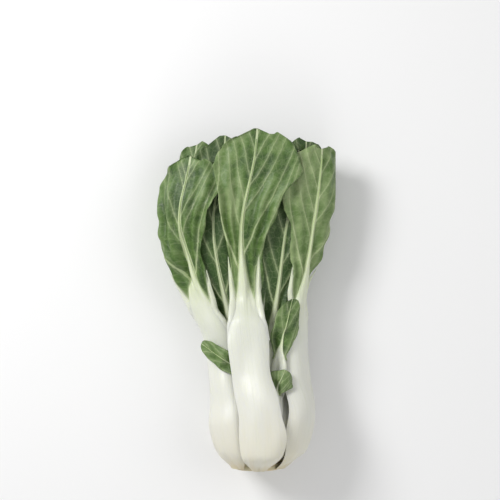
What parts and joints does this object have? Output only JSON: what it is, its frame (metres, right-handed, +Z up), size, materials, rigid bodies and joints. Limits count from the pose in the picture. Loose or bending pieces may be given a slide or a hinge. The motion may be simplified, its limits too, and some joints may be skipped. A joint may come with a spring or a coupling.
{
  "type": "bok choy",
  "caption": "Whole head of large bok choy lying on its back, thick ivory stalks round a cut root end and broad dark green spoon leaves.",
  "frame": {"origin": "middle of the flat spot on the back stalk's bulge that the head lies on, at the level of the surface below", "axes": "+Y along the head from its cut root end to its leaf tips, +Z up out of the surface it lies on and through its front leaf, +X to the head's right seen from above with the tips pointing away"},
  "size_m": [0.1705, 0.325, 0.0947],
  "materials": {
    "stalk": "smooth, slightly wet ivory stalk that turns pale green towards the blade",
    "leaf": "thin dark green leaf, paler on its back, with pale veins and a satin sheen",
    "crown": "matt cream cut root end, slightly browned"
  },
  "bodies": {
    "root": {"crown": "crown", "front_stalk": "stalk", "front_blade": "leaf", "back_stalk": "stalk", "back_blade": "leaf", "left_stalk": "stalk", "left_blade": "leaf", "right_stalk": "stalk", "right_blade": "leaf", "left_back_stalk": "stalk", "left_back_blade": "leaf", "right_back_stalk": "stalk", "right_back_blade": "leaf", "front_left_stalk": "stalk", "front_left_blade": "leaf", "front_right_stalk": "stalk", "front_right_blade": "leaf", "far_right_stalk": "stalk", "far_right_blade": "leaf", "back_left_stalk": "stalk", "back_left_blade": "leaf", "inner_left_stalk": "stalk", "inner_left_blade": "leaf", "inner_right_stalk": "stalk", "inner_right_blade": "leaf", "inner_back_stalk": "stalk", "inner_back_blade": "leaf", "heart_front_stalk": "stalk", "heart_front_blade": "leaf", "heart_back_stalk": "stalk", "heart_back_blade": "leaf", "small_left_stalk": "stalk", "small_left_blade": "leaf", "small_right_stalk": "stalk", "small_right_blade": "leaf", "small_low_stalk": "stalk", "small_low_blade": "leaf"}
  },
  "joints": []
}
